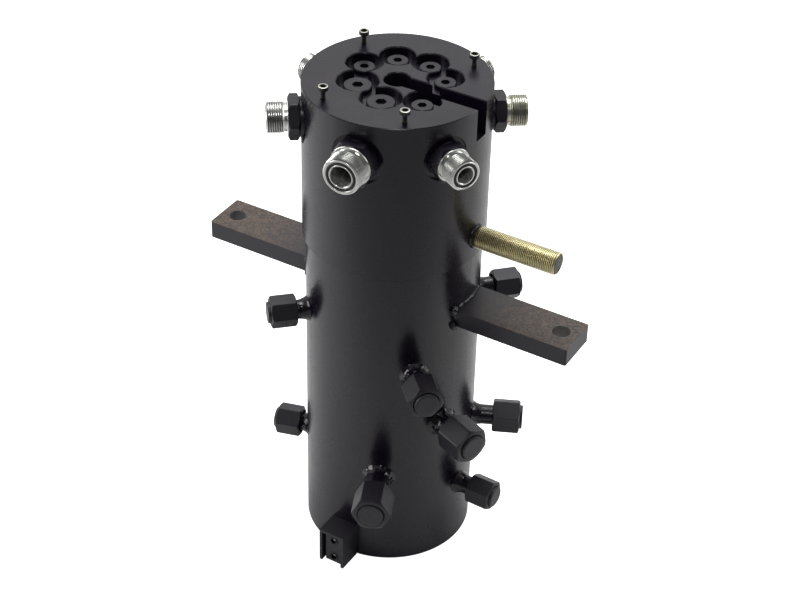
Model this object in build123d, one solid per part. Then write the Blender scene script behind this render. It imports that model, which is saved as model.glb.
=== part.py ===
from build123d import *
import os
from itertools import accumulate
from math import asin, cos, degrees, radians, sin, sqrt, tan

# Hydraulic rotary union: a fixed sleeve with welded ports and mounting arms,
# and a rotor whose head carries seven hose adapters above the sleeve.
# Millimetres. Origin at the centre of the sleeve's foot, +Z up the axis of
# rotation, +X along the right arm, the head's slot and the drive stud.

# ---------------------------------------------------------------- main sizes
ROTOR_RADIUS = 63.5
SLEEVE_WALL = 21.9
SLEEVE_TOP_RUN = 84.1
HEAD_OVERHANG = 3.2
HEAD_HEIGHT = 163.8
CABLE_BORE_RADIUS = 12.9
EDGE_BREAK = 0.8

# Clearances between neighbours.
LAND_GAP = 0.3          # sleeve bore to rotor, radial
BEARING_GAP = 0.05      # bearing bush to rotor, radial
SEAT_GAP = 0.05         # ring or bush to its own groove
SEAM_GAP = 0.5          # sleeve top to head, axial
END_FLOAT = 0.3         # lower thrust ring to retaining plate, axial
WELD_GAP = 0.1          # coped plate or tube to the barrel
THREAD_GAP = 0.1        # male thread envelope to its hole, radial
SCREW_END_GAP = 2.0     # a tapped hole's run past the end of its screw

# ------------------------------------------------------ rotary seal section
PASSAGE_DEPTH = 7.0
NARROW_PASSAGE = 8.0
WIDE_PASSAGE = 12.0
GLAND_WIDTH = 5.4
GLAND_DEPTH = 6.0
SEAL_THICKNESS = 2.5
BUSH_WALL = 3.0
BUSH_LENGTH = 30.0
BUSH_CHAMFER = 0.6
WIPER_WIDTH = 5.0
WIPER_OFFSET = 4.0

# Names of the annular passages, lowest first, the height of each above the
# one below it, starting from the foot, and the two wide ones.
PASSAGE_NAMES = "ABCDEFG"
PASSAGE_STEPS = [73.0, 18.5, 20.5, 21.0, 38.5, 70.5, 29.5]
WIDE_PASSAGES = "CE"
# From a passage's middle to the seals of a long land or an end land.
SEAL_MARGIN = 13.5
UPPER_BUSH_DROP = 53.6
LOWER_BUSH_RISE = 4.0

# ------------------------------------------------- ends of the rotor shaft
THRUST_THICKNESS = 4.0
THRUST_BORE_GAP = 2.0
THRUST_WIDTH = 14.5
RETAINER_THICKNESS = 13.5
RETAINER_LEDGE = 13.0
RETAINER_SIDE_GAP = 1.5
RETAINER_WELL_DEPTH = 22.0
RETAINER_BOLT_INSET = 15.5
RETAINER_BOLT_COUNT = 6
RETAINER_BOLT_RADIUS = 4.8
RETAINER_BOLT_GRIP = 22.0
BOLT_HEAD_RADIUS = 7.1
BOLT_HEAD_HEIGHT = 9.5
BOLT_SOCKET_AF = 7.9
BOLT_SOCKET_DEPTH = 5.0
BOLT_HOLE_GAP = 0.4

# ------------------------------------------------------------- rotor head
SLOT_WIDTH = 17.2
SLOT_DEPTH = 33.5
RIM_CHAMFER = 1.0
ADAPTER_HEIGHT_BELOW_TOP = 36.9
SPOT_FACE_DEPTH = 3.9
PORT_THREAD_DEPTH = 24.0
DRILL_TIP_ANGLE = 59.0

# Galleries: angle of each, at the pitch radius of its size.
NARROW_GALLERY_PITCH = 44.1
WIDE_GALLERY_PITCH = 36.6
NARROW_GALLERY_RADIUS = 6.35
WIDE_GALLERY_RADIUS = 8.0

NARROW_WELL_RADIUS = 17.6
WIDE_WELL_RADIUS = 19.8
WELL_DEPTH = 9.0
PLUG_RECESS = 4.4
NARROW_PLUG_HEAD_RADIUS = 10.4
WIDE_PLUG_HEAD_RADIUS = 13.4
NARROW_PLUG_THREAD_RADIUS = 9.5
WIDE_PLUG_THREAD_RADIUS = 11.1
PLUG_THREAD_LENGTH = 13.0
PLUG_SOCKET_AF = 7.9
WIDE_PLUG_SOCKET_AF = 9.5
PLUG_SOCKET_DEPTH = 3.6
PLUG_NECK = 2.6
PLUG_NECK_CUT = 1.6

COVER_SCREW_ANGLES = [-120.9, -54.6, 52.3, 145.3]
COVER_SCREW_INSET = 12.7
COVER_SCREW_RADIUS = 2.4
COVER_SCREW_DEPTH = 12.0
COVER_SCREW_STAND_OFF = 7.6
COVER_SCREW_HEAD_RADIUS = 4.9
COVER_SCREW_HEAD_HEIGHT = 4.8
COVER_SCREW_SOCKET_AF = 4.0
COVER_SCREW_SOCKET_DEPTH = 2.4

# Drive stud on the head.
STUD_RADIUS = 11.1
STUD_RISE = 22.9
STUD_LENGTH = 86.6
STUD_DEPTH = 26.0
STUD_CHAMFER = 2.0
STUD_NECK_CUT = 0.8
STUD_NECK_LENGTH = 3.4
STUD_WELD_LEG = 3.0

# --------------------------------------------------------------- adapters
# Sizes of a straight face-seal adapter: hexagon across flats, male thread
# radius, bore radius, port thread radius and spot-face radius.
SMALL_ADAPTER = dict(hexagon=34.9, thread=15.1, bore=7.9, port=13.4, spot=22.5)
REDUCER_ADAPTER = dict(hexagon=38.1, thread=15.1, bore=7.9, port=16.6, spot=24.5)
LARGE_ADAPTER = dict(hexagon=41.3, thread=18.25, bore=10.3, port=16.6, spot=25.5)
# name, angle, size, passage that its gallery feeds
ADAPTERS = [
    ("adapter_1", -144.5, REDUCER_ADAPTER, "E"),
    ("adapter_2", -83.5, LARGE_ADAPTER, "C"),
    ("adapter_3", -29.3, SMALL_ADAPTER, "A"),
    ("adapter_4", 35.8, SMALL_ADAPTER, "D"),
    ("adapter_5", 76.8, SMALL_ADAPTER, "B"),
    ("adapter_6", 120.5, SMALL_ADAPTER, "F"),
    ("adapter_7", 165.0, SMALL_ADAPTER, "G"),
]
COLLAR_LENGTH = 5.0
HEX_LENGTH = 11.0
NECK_LENGTH = 3.6
NECK_CUT = 2.0
MALE_THREAD_LENGTH = 16.4
THREAD_CHAMFER = 1.2
PORT_NECK_LENGTH = 3.4
PORT_NECK_CUT = 2.0
FACE_LIP = 1.5
FACE_GROOVE_WIDTH = 2.9
FACE_GROOVE_DEPTH = 2.1
FACE_RING_PROUD = 0.4

# ------------------------------------------------------------ sleeve ports
# Sizes of a capped port: cap hexagon, cap length, disc radius, tube radius,
# drilled bore radius.
SMALL_PORT = dict(hexagon=28.6, length=26.0, disc=10.7, tube=9.5, bore=6.0)
MEDIUM_PORT = dict(hexagon=31.75, length=28.0, disc=12.2, tube=10.2, bore=7.0)
LARGE_PORT = dict(hexagon=34.9, length=32.0, disc=12.8, tube=12.0, bore=8.5)
# angle, passage, size, cap's stand-off from the sleeve, cap turn
PORTS = [
    (-137.0, "G", SMALL_PORT, 11.3, 0.0),
    (-164.0, "B", SMALL_PORT, 9.3, 15.0),
    (-45.0, "F", MEDIUM_PORT, 18.3, -10.0),
    (-22.6, "E", LARGE_PORT, 15.3, -23.0),
    (25.0, "D", MEDIUM_PORT, 20.3, 30.0),
    (-2.0, "A", SMALL_PORT, 15.3, 28.0),
    (-66.7, "C", LARGE_PORT, 25.8, 2.0),
    (45.0, "G", SMALL_PORT, 17.3, 10.0),
]
PORT_SOCKET_DEPTH = 6.0
PORT_WELD_LEG = 6.0
CAP_CHAMFER_ANGLE = 30.0
CAP_LAND = 4.0
DISC_PROUD = 1.4
DISC_GAP = 0.55
DISC_SHOULDER = 1.4
DISC_FLANGE = 4.0
DISC_CHAMFER = 0.6
NOSE_LENGTH = 15.0

# ---------------------------------------------------------- mounting arms
ARM_DROP = 50.8
ARM_THICKNESS = 19.05
ARM_WIDTH = 47.6
ARM_HOLE_PITCH = 368.3
ARM_HOLE_MARGIN = 17.45
ARM_HOLE_RADIUS = 9.1
ARM_CORNER_RADIUS = 2.0
ARM_EDGE_BREAK = 0.6
ARM_WELD_LEG = 7.0

# ---------------------------------------------------- anchor at the foot
ANCHOR_ANGLE = -91.0
ANCHOR_PROJECTION = 25.7
ANCHOR_WIDTH = 28.6
ANCHOR_HEIGHT = 41.3
ANCHOR_WALL = 3.0
ANCHOR_TOP_WALL = 3.2
ANCHOR_BLOCK_WIDTH = 19.4
ANCHOR_BLOCK_RECESS = 2.6
ANCHOR_BLOCK_FOOT = 2.0
ANCHOR_SCREW_HEIGHTS = [9.5, 31.0]
ANCHOR_SCREW_RADIUS = 4.0
ANCHOR_SCREW_LENGTH = 12.0
ANCHOR_SCREW_RECESS = 1.2
ANCHOR_SCREW_SOCKET_AF = 4.0
ANCHOR_SCREW_SOCKET_DEPTH = 3.0

# ----------------------------------------------------------------- derived
BASE = (Align.CENTER, Align.CENTER, Align.MIN)
OUTWARDS = (Align.MIN, Align.CENTER, Align.MIN)
PASSAGE_HEIGHTS = dict(zip(PASSAGE_NAMES, accumulate(PASSAGE_STEPS)))
SLEEVE_HEIGHT = sum(PASSAGE_STEPS) + SLEEVE_TOP_RUN
SLEEVE_BORE_RADIUS = ROTOR_RADIUS + LAND_GAP
SLEEVE_RADIUS = SLEEVE_BORE_RADIUS + SLEEVE_WALL
GLAND_RADIUS = SLEEVE_BORE_RADIUS + GLAND_DEPTH
BEARING_RADIUS = ROTOR_RADIUS + BEARING_GAP
LOWER_BUSH_BOTTOM = RETAINER_WELL_DEPTH + LOWER_BUSH_RISE
UPPER_BUSH_BOTTOM = SLEEVE_HEIGHT - UPPER_BUSH_DROP
HEAD_RADIUS = SLEEVE_RADIUS + HEAD_OVERHANG
HEAD_BOTTOM = SLEEVE_HEIGHT + SEAM_GAP
HEAD_TOP = HEAD_BOTTOM + HEAD_HEIGHT
PORT_FACE_RADIUS = HEAD_RADIUS - SPOT_FACE_DEPTH
ADAPTER_HEIGHT = HEAD_TOP - ADAPTER_HEIGHT_BELOW_TOP
COVER_SCREW_PITCH = HEAD_RADIUS - COVER_SCREW_INSET
STUD_HEIGHT = HEAD_BOTTOM + STUD_RISE
STUD_NECK_RADIUS = STUD_RADIUS - STUD_NECK_CUT
ARM_TOP = SLEEVE_HEIGHT - ARM_DROP
ARM_REACH = ARM_HOLE_PITCH / 2 + ARM_HOLE_MARGIN
ANCHOR_REACH = SLEEVE_RADIUS + ANCHOR_PROJECTION
THRUST_INNER = ROTOR_RADIUS + THRUST_BORE_GAP
THRUST_OUTER = THRUST_INNER + THRUST_WIDTH
UPPER_THRUST_BOTTOM = HEAD_BOTTOM - THRUST_THICKNESS
WIPER_BOTTOM = UPPER_THRUST_BOTTOM - WIPER_OFFSET - WIPER_WIDTH
RETAINER_WELL_RADIUS = ROTOR_RADIUS + RETAINER_LEDGE
RETAINER_RADIUS = RETAINER_WELL_RADIUS - RETAINER_SIDE_GAP
RETAINER_BOLT_CIRCLE = ROTOR_RADIUS - RETAINER_BOLT_INSET
LOWER_THRUST_BOTTOM = RETAINER_WELL_DEPTH - THRUST_THICKNESS
RETAINER_TOP = LOWER_THRUST_BOTTOM - END_FLOAT
RETAINER_BOTTOM = RETAINER_TOP - RETAINER_THICKNESS
OVERRUN = 5.0           # how far a cutting tool runs past a face


def ring(outer, inner, bottom, height):
    """A plain ring on the main axis."""
    solid = Pos(0, 0, bottom) * Cylinder(outer, height, align=BASE)
    hole = Pos(0, 0, bottom - OVERRUN) * Cylinder(inner, height + 2 * OVERRUN, align=BASE)
    return solid - hole


def disc(radius, bottom, height):
    """A plain cylinder standing on a height, on the local axis."""
    return Pos(0, 0, bottom) * Cylinder(radius, height, align=BASE)


def turned(*points):
    """A body of revolution about local Z, from (radius, height) corners."""
    outline = Plane.XZ * make_face(Polyline(*points, close=True))
    return revolve(outline, Axis.Z)


def hexagon(across_flats, bottom, height):
    """A hexagonal prism on the local axis."""
    outline = RegularPolygon(across_flats / 2, 6, major_radius=False, rotation=30)
    return Pos(0, 0, bottom) * extrude(outline, height)


def drilled(radius, length):
    """A drill's path: a cylinder down from the origin, with its pointed end."""
    tip = radius / tan(radians(DRILL_TIP_ANGLE))
    return turned((0, OVERRUN), (radius, OVERRUN), (radius, -length), (0, -length - tip))


def broken_hole(radius, depth):
    """Cutter for a hole going down from the origin, its rim broken by a chamfer."""
    spread = radius + RIM_CHAMFER + OVERRUN
    return turned((0, -depth), (radius, -depth), (radius, -RIM_CHAMFER), (spread, OVERRUN), (0, OVERRUN))


def chamfered_hexagon(across_flats, length):
    """A hexagonal body with both ends turned to a washer face."""
    flat = across_flats / 2
    corner = flat / cos(radians(30))
    drop = (corner - flat) * tan(radians(CAP_CHAMFER_ANGLE))
    envelope = turned((0, 0), (flat, 0), (corner, drop), (corner, length - drop), (flat, length), (0, length))
    return hexagon(across_flats, 0, length) & envelope


def radial(angle, height, turn=0.0):
    """Placing for a piece built along local Z: points outwards from the axis."""
    return Pos(0, 0, height) * Rot(0, 0, angle) * Rot(0, 90, 0) * Rot(0, 0, turn)


def around(radius, angle, height):
    """Placing for an upright piece at a polar position."""
    return Pos(radius * cos(radians(angle)), radius * sin(radians(angle)), height)


def group(solids):
    return Compound(children=[solid for piece in solids for solid in piece.solids()])


def is_wide(passage):
    return passage in WIDE_PASSAGES


def passage_width(passage):
    return WIDE_PASSAGE if is_wide(passage) else NARROW_PASSAGE


# ------------------------------------------------------------------ sleeve
def seal_heights():
    """One seal midway on a short land, two near the passages on a long one."""
    heights = [PASSAGE_HEIGHTS[PASSAGE_NAMES[0]] - SEAL_MARGIN]
    for lower, upper in zip(PASSAGE_NAMES, PASSAGE_NAMES[1:]):
        low = PASSAGE_HEIGHTS[lower]
        high = PASSAGE_HEIGHTS[upper]
        if high - low > 2 * SEAL_MARGIN + 2 * GLAND_WIDTH:
            heights += [low + SEAL_MARGIN, high - SEAL_MARGIN]
        else:
            heights.append((low + passage_width(lower) / 2 + high - passage_width(upper) / 2) / 2)
    heights.append(PASSAGE_HEIGHTS[PASSAGE_NAMES[-1]] + SEAL_MARGIN)
    return heights


def sleeve_cuts():
    """Everything turned or drilled out of the sleeve."""
    cuts = [disc(SLEEVE_BORE_RADIUS, -OVERRUN, SLEEVE_HEIGHT + 2 * OVERRUN)]
    cuts.append(disc(RETAINER_WELL_RADIUS, -OVERRUN, RETAINER_WELL_DEPTH + OVERRUN))
    cuts.append(disc(THRUST_OUTER + SEAT_GAP, UPPER_THRUST_BOTTOM, THRUST_THICKNESS + OVERRUN))
    for height in seal_heights():
        cuts.append(disc(GLAND_RADIUS, height - GLAND_WIDTH / 2, GLAND_WIDTH))
    for height in (LOWER_BUSH_BOTTOM, UPPER_BUSH_BOTTOM):
        cuts.append(disc(BEARING_RADIUS + BUSH_WALL + SEAT_GAP, height, BUSH_LENGTH))
    cuts.append(disc(GLAND_RADIUS, WIPER_BOTTOM, WIPER_WIDTH))
    for angle, passage, size, _, _ in PORTS:
        place = radial(angle, PASSAGE_HEIGHTS[passage])
        cuts.append(place * disc(size["bore"], 0, SLEEVE_RADIUS))
        seat = SLEEVE_RADIUS - PORT_SOCKET_DEPTH
        cuts.append(place * disc(size["tube"] + SEAT_GAP, seat, PORT_SOCKET_DEPTH + OVERRUN))
    return cuts


def make_sleeve():
    barrel = disc(SLEEVE_RADIUS, 0, SLEEVE_HEIGHT)
    barrel = chamfer(barrel.edges(), EDGE_BREAK)
    return barrel - sleeve_cuts()


def make_bush(bottom):
    inner = BEARING_RADIUS
    outer = BEARING_RADIUS + BUSH_WALL
    low = bottom + SEAT_GAP
    high = bottom + BUSH_LENGTH - SEAT_GAP
    return turned(
        (inner, low + BUSH_CHAMFER), (inner + BUSH_CHAMFER, low), (outer, low),
        (outer, high), (inner + BUSH_CHAMFER, high), (inner, high - BUSH_CHAMFER),
    )


def make_seal_rings():
    """Slipper rings that bear on the rotor, one in each gland."""
    width = GLAND_WIDTH - 2 * SEAT_GAP
    return group(
        ring(BEARING_RADIUS + SEAL_THICKNESS, BEARING_RADIUS, height - width / 2, width)
        for height in seal_heights()
    )


def make_seal_springs():
    """Rubber rings behind the slipper rings, pressing them inwards."""
    width = GLAND_WIDTH - 2 * SEAT_GAP
    inner = BEARING_RADIUS + SEAL_THICKNESS + SEAT_GAP
    outer = GLAND_RADIUS - SEAT_GAP
    return group(ring(outer, inner, height - width / 2, width) for height in seal_heights())


def make_wiper():
    """Dust seal with a lip that leans up towards the head."""
    low = WIPER_BOTTOM + SEAT_GAP
    high = low + WIPER_WIDTH - 2 * SEAT_GAP
    outer = GLAND_RADIUS - SEAT_GAP
    inner = BEARING_RADIUS + BUSH_WALL
    lip = high - BUSH_CHAMFER
    return turned((inner, low), (outer, low), (outer, high), (BEARING_RADIUS, high), (BEARING_RADIUS, lip))


def make_upper_thrust_ring():
    return ring(THRUST_OUTER, THRUST_INNER, UPPER_THRUST_BOTTOM, THRUST_THICKNESS)


def make_lower_thrust_ring():
    outer = RETAINER_WELL_RADIUS - SEAT_GAP
    return ring(outer, THRUST_INNER, LOWER_THRUST_BOTTOM, THRUST_THICKNESS)


# ------------------------------------------------------------ sleeve ports
def port_flange_radius(size):
    return size["disc"] + DISC_SHOULDER


def cap_ends(size, stand_off):
    """Radii of a cap's inner end, of the shoulder in it and of its outer end."""
    start = SLEEVE_RADIUS + stand_off
    end = start + size["length"]
    return start, end - CAP_LAND, end


def make_port_tube(angle, height, size, stand_off):
    """Weld-on tube with a threaded nose, bored through to its passage."""
    seat = SLEEVE_RADIUS - PORT_SOCKET_DEPTH
    nose = cap_ends(size, stand_off)[1] - DISC_FLANGE
    body = disc(size["tube"], seat, nose - seat)
    thread = disc(port_flange_radius(size), nose - NOSE_LENGTH, NOSE_LENGTH)
    thread = chamfer(thread.edges(), THREAD_CHAMFER)
    bore = disc(size["bore"], seat - OVERRUN, nose - seat + 2 * OVERRUN)
    return radial(angle, height) * (body + thread - bore)


def make_cap_nut(angle, height, size, stand_off, turn):
    """Hexagon cap whose open outer end is filled by the blanking disc."""
    start, shoulder, end = cap_ends(size, stand_off)
    nut = Pos(0, 0, start) * chamfered_hexagon(size["hexagon"], size["length"])
    nut -= disc(port_flange_radius(size) + THREAD_GAP, start - OVERRUN, shoulder - start + OVERRUN)
    nut -= disc(size["disc"] + DISC_GAP, start, end - start + OVERRUN)
    return radial(angle, height, turn) * nut


def make_blanking_disc(angle, height, size, stand_off):
    """Shouldered disc clamped between the tube's nose and the cap."""
    _, shoulder, end = cap_ends(size, stand_off)
    proud = end + DISC_PROUD
    return radial(angle, height) * turned(
        (0, shoulder - DISC_FLANGE), (port_flange_radius(size), shoulder - DISC_FLANGE),
        (port_flange_radius(size), shoulder), (size["disc"], shoulder),
        (size["disc"], proud - DISC_CHAMFER), (size["disc"] - DISC_CHAMFER, proud), (0, proud),
    )


def make_port_weld(angle, height, size):
    """Fillet bead around the tube, coped to the barrel."""
    foot = size["tube"] + PORT_WELD_LEG
    sunk = SLEEVE_RADIUS - sqrt(SLEEVE_RADIUS**2 - foot**2)
    start = SLEEVE_RADIUS - sunk
    top = SLEEVE_RADIUS + PORT_WELD_LEG
    inner = size["tube"] + SEAT_GAP
    bead = turned((inner, start), (foot, start), (inner + SEAT_GAP, top), (inner, top))
    barrel = disc(SLEEVE_RADIUS + WELD_GAP, 0, SLEEVE_HEIGHT)
    return radial(angle, height) * bead - barrel


def ports_of(size):
    return [port for port in PORTS if port[2] is size]


# ---------------------------------------------------------- mounting arms
def make_arm(side):
    """Flat bar coped to the barrel; side is +1 for the right, -1 for the left."""
    bottom = ARM_TOP - ARM_THICKNESS
    bar = Box(ARM_REACH, ARM_WIDTH, ARM_THICKNESS, align=OUTWARDS)
    bar = fillet(bar.edges().filter_by(Axis.Z).group_by(Axis.X)[-1], ARM_CORNER_RADIUS)
    bar = chamfer(bar.faces().sort_by(Axis.Z)[0].edges(), ARM_EDGE_BREAK)
    bar = Rot(0, 0, 0 if side > 0 else 180) * Pos(0, 0, bottom) * bar
    bar -= disc(SLEEVE_RADIUS + WELD_GAP, 0, SLEEVE_HEIGHT)
    hole = Cylinder(ARM_HOLE_RADIUS, ARM_THICKNESS + 2 * OVERRUN, align=BASE)
    return bar - Pos(side * ARM_HOLE_PITCH / 2, 0, bottom - OVERRUN) * hole


def make_arm_weld(side):
    """Bead all round an arm's root, tapering from the barrel onto the bar."""
    half_width = ARM_WIDTH / 2 + ARM_WELD_LEG
    start = sqrt(SLEEVE_RADIUS**2 - half_width**2)
    run = SLEEVE_RADIUS + ARM_WELD_LEG - start
    taper = degrees(asin(ARM_WELD_LEG / sqrt(ARM_WELD_LEG**2 + run**2)))
    outline = Rectangle(ARM_THICKNESS + 2 * ARM_WELD_LEG, ARM_WIDTH + 2 * ARM_WELD_LEG)
    bead = Pos(0, 0, start) * extrude(outline, run, taper=taper)
    bar = Box(ARM_THICKNESS + 2 * SEAT_GAP, ARM_WIDTH + 2 * SEAT_GAP, 2 * ARM_REACH)
    bead = radial(0 if side > 0 else 180, ARM_TOP - ARM_THICKNESS / 2) * (bead - bar)
    return bead - disc(SLEEVE_RADIUS + WELD_GAP, 0, SLEEVE_HEIGHT)


# ---------------------------------------------------- anchor at the foot
def anchor_place():
    return Rot(0, 0, ANCHOR_ANGLE)


def make_anchor_channel():
    """Bent channel welded on edge at the foot, open outwards and below."""
    outside = Box(ANCHOR_REACH, ANCHOR_WIDTH, ANCHOR_HEIGHT, align=OUTWARDS)
    inside = Box(
        2 * ANCHOR_REACH, ANCHOR_WIDTH - 2 * ANCHOR_WALL, ANCHOR_HEIGHT - ANCHOR_TOP_WALL,
        align=OUTWARDS,
    )
    channel = outside - inside
    return anchor_place() * channel - disc(SLEEVE_RADIUS + WELD_GAP, -OVERRUN, SLEEVE_HEIGHT)


def anchor_block_centre():
    """The block rests against the cheek on the channel's far side."""
    return ANCHOR_WIDTH / 2 - ANCHOR_WALL - ANCHOR_BLOCK_WIDTH / 2


def anchor_block_face():
    return ANCHOR_REACH - ANCHOR_BLOCK_RECESS


def make_anchor_block():
    """Tapped block inside the channel."""
    height = ANCHOR_HEIGHT - ANCHOR_TOP_WALL - ANCHOR_BLOCK_FOOT
    block = Box(anchor_block_face(), ANCHOR_BLOCK_WIDTH, height, align=OUTWARDS)
    block = Pos(0, anchor_block_centre(), ANCHOR_BLOCK_FOOT) * block
    for level in ANCHOR_SCREW_HEIGHTS:
        hole = disc(ANCHOR_SCREW_RADIUS + THREAD_GAP, SLEEVE_RADIUS, ANCHOR_REACH)
        block -= Pos(0, anchor_block_centre(), level) * Rot(0, 90, 0) * hole
    return anchor_place() * block - disc(SLEEVE_RADIUS + WELD_GAP, -OVERRUN, SLEEVE_HEIGHT)


def make_anchor_screws():
    top = anchor_block_face() - ANCHOR_SCREW_RECESS
    screws = []
    for level in ANCHOR_SCREW_HEIGHTS:
        screw = disc(ANCHOR_SCREW_RADIUS, top - ANCHOR_SCREW_LENGTH, ANCHOR_SCREW_LENGTH)
        socket = hexagon(ANCHOR_SCREW_SOCKET_AF, top - ANCHOR_SCREW_SOCKET_DEPTH, OVERRUN)
        place = anchor_place() * Pos(0, anchor_block_centre(), level) * Rot(0, 90, 0)
        screws.append(place * (screw - socket))
    return group(screws)


# ------------------------------------------------------------------- rotor
def gallery_sizes(passage):
    """Pitch radius and radius of a passage's gallery."""
    if is_wide(passage):
        return WIDE_GALLERY_PITCH, WIDE_GALLERY_RADIUS
    return NARROW_GALLERY_PITCH, NARROW_GALLERY_RADIUS


def well_sizes(passage):
    """Well radius, plug thread radius, plug head radius and socket."""
    if is_wide(passage):
        return WIDE_WELL_RADIUS, WIDE_PLUG_THREAD_RADIUS, WIDE_PLUG_HEAD_RADIUS, WIDE_PLUG_SOCKET_AF
    return NARROW_WELL_RADIUS, NARROW_PLUG_THREAD_RADIUS, NARROW_PLUG_HEAD_RADIUS, PLUG_SOCKET_AF


def gallery_cuts(angle, size, passage):
    """Well, plug thread, long drilling, cross drilling and side port of one gallery."""
    pitch, radius = gallery_sizes(passage)
    height = PASSAGE_HEIGHTS[passage]
    well, thread, _, _ = well_sizes(passage)
    down = around(pitch, angle, HEAD_TOP)
    side = radial(angle, ADAPTER_HEIGHT)
    plug_end = -WELL_DEPTH - PLUG_THREAD_LENGTH - SCREW_END_GAP
    cross_radius = passage_width(passage) / 2
    port_bottom = PORT_FACE_RADIUS - PORT_THREAD_DEPTH
    return [
        down * broken_hole(well, WELL_DEPTH),
        down * disc(thread + THREAD_GAP, plug_end, -plug_end),
        down * drilled(radius, HEAD_TOP - height),
        radial(angle, height) * disc(cross_radius, pitch, ROTOR_RADIUS - pitch),
        side * disc(size["spot"], PORT_FACE_RADIUS, SPOT_FACE_DEPTH + OVERRUN),
        side * disc(size["port"] + THREAD_GAP, port_bottom, PORT_THREAD_DEPTH + OVERRUN),
        side * disc(min(size["bore"], radius), pitch, PORT_FACE_RADIUS - pitch),
    ]


def passage_cuts():
    cuts = []
    for passage, height in PASSAGE_HEIGHTS.items():
        width = passage_width(passage)
        cuts.append(ring(ROTOR_RADIUS + OVERRUN, ROTOR_RADIUS - PASSAGE_DEPTH, height - width / 2, width))
    return cuts


def slot_cut():
    """Straight slot from the cable bore out through the head's rim, its upper edges broken."""
    side = SLOT_WIDTH / 2
    spread = side + RIM_CHAMFER + OVERRUN
    outline = Polyline(
        (side, -SLOT_DEPTH), (side, -RIM_CHAMFER), (spread, OVERRUN),
        (-spread, OVERRUN), (-side, -RIM_CHAMFER), (-side, -SLOT_DEPTH), close=True,
    )
    slot = extrude(Plane.YZ * make_face(outline), HEAD_RADIUS + OVERRUN)
    return Pos(0, 0, HEAD_TOP) * slot


def make_rotor():
    """Head and shaft turned from one bar, with all drillings."""
    head = chamfer(disc(HEAD_RADIUS, HEAD_BOTTOM, HEAD_HEIGHT).edges(), EDGE_BREAK)
    shaft = disc(ROTOR_RADIUS, RETAINER_TOP, HEAD_BOTTOM - RETAINER_TOP + OVERRUN)
    shaft = chamfer(shaft.faces().sort_by(Axis.Z)[0].edges(), EDGE_BREAK)
    cuts = [Pos(0, 0, HEAD_TOP) * broken_hole(CABLE_BORE_RADIUS, HEAD_TOP), slot_cut()]
    cuts += passage_cuts()
    for _, angle, size, passage in ADAPTERS:
        cuts += gallery_cuts(angle, size, passage)
    for angle in COVER_SCREW_ANGLES:
        depth = COVER_SCREW_DEPTH + SCREW_END_GAP
        hole = disc(COVER_SCREW_RADIUS + THREAD_GAP, -depth, depth + OVERRUN)
        cuts.append(around(COVER_SCREW_PITCH, angle, HEAD_TOP) * hole)
    stud_seat = HEAD_RADIUS - STUD_DEPTH
    cuts.append(radial(0, STUD_HEIGHT) * disc(STUD_NECK_RADIUS + THREAD_GAP, stud_seat, STUD_DEPTH + OVERRUN))
    for place in retainer_bolt_places():
        cuts.append(place * disc(RETAINER_BOLT_RADIUS + THREAD_GAP, RETAINER_TOP, RETAINER_BOLT_GRIP))
    return head + shaft - cuts


# ------------------------------------------------------ rotor's lower end
def retainer_bolt_places():
    step = 360 / RETAINER_BOLT_COUNT
    return [around(RETAINER_BOLT_CIRCLE, (turn + 0.5) * step, 0) for turn in range(RETAINER_BOLT_COUNT)]


def make_retaining_plate():
    """Round plate bolted to the shaft's end, under the lower thrust ring."""
    plate = chamfer(disc(RETAINER_RADIUS, RETAINER_BOTTOM, RETAINER_THICKNESS).edges(), EDGE_BREAK)
    cuts = [disc(CABLE_BORE_RADIUS, 0, RETAINER_WELL_DEPTH)]
    for place in retainer_bolt_places():
        cuts.append(place * disc(RETAINER_BOLT_RADIUS + BOLT_HOLE_GAP, 0, RETAINER_WELL_DEPTH))
        well = disc(BOLT_HEAD_RADIUS + BOLT_HOLE_GAP, RETAINER_BOTTOM - OVERRUN, BOLT_HEAD_HEIGHT + OVERRUN)
        cuts.append(place * well)
    return plate - cuts


def make_retaining_bolts():
    head_top = RETAINER_BOTTOM + BOLT_HEAD_HEIGHT
    shank_end = RETAINER_TOP + RETAINER_BOLT_GRIP - SCREW_END_GAP
    bolts = []
    for place in retainer_bolt_places():
        bolt = disc(BOLT_HEAD_RADIUS, RETAINER_BOTTOM, BOLT_HEAD_HEIGHT)
        bolt += disc(RETAINER_BOLT_RADIUS, head_top, shank_end - head_top)
        bolt -= hexagon(BOLT_SOCKET_AF, RETAINER_BOTTOM - OVERRUN, BOLT_SOCKET_DEPTH + OVERRUN)
        bolts.append(place * bolt)
    return group(bolts)


# --------------------------------------------------- fittings on the head
def make_gallery_plug(angle, passage):
    """Socket plug that closes the top of one gallery."""
    pitch, _ = gallery_sizes(passage)
    _, thread, head, socket = well_sizes(passage)
    seat = -WELL_DEPTH
    top = -PLUG_RECESS
    neck = seat - PLUG_NECK
    plug = turned(
        (0, seat - PLUG_THREAD_LENGTH), (thread - THREAD_CHAMFER, seat - PLUG_THREAD_LENGTH),
        (thread, seat - PLUG_THREAD_LENGTH + THREAD_CHAMFER), (thread, neck), (thread - PLUG_NECK_CUT, neck),
        (thread - PLUG_NECK_CUT, seat), (head, seat), (head, top - EDGE_BREAK),
        (head - EDGE_BREAK, top), (0, top),
    )
    plug -= hexagon(socket, top - PLUG_SOCKET_DEPTH, PLUG_SOCKET_DEPTH + OVERRUN)
    return around(pitch, angle, HEAD_TOP) * plug


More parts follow.
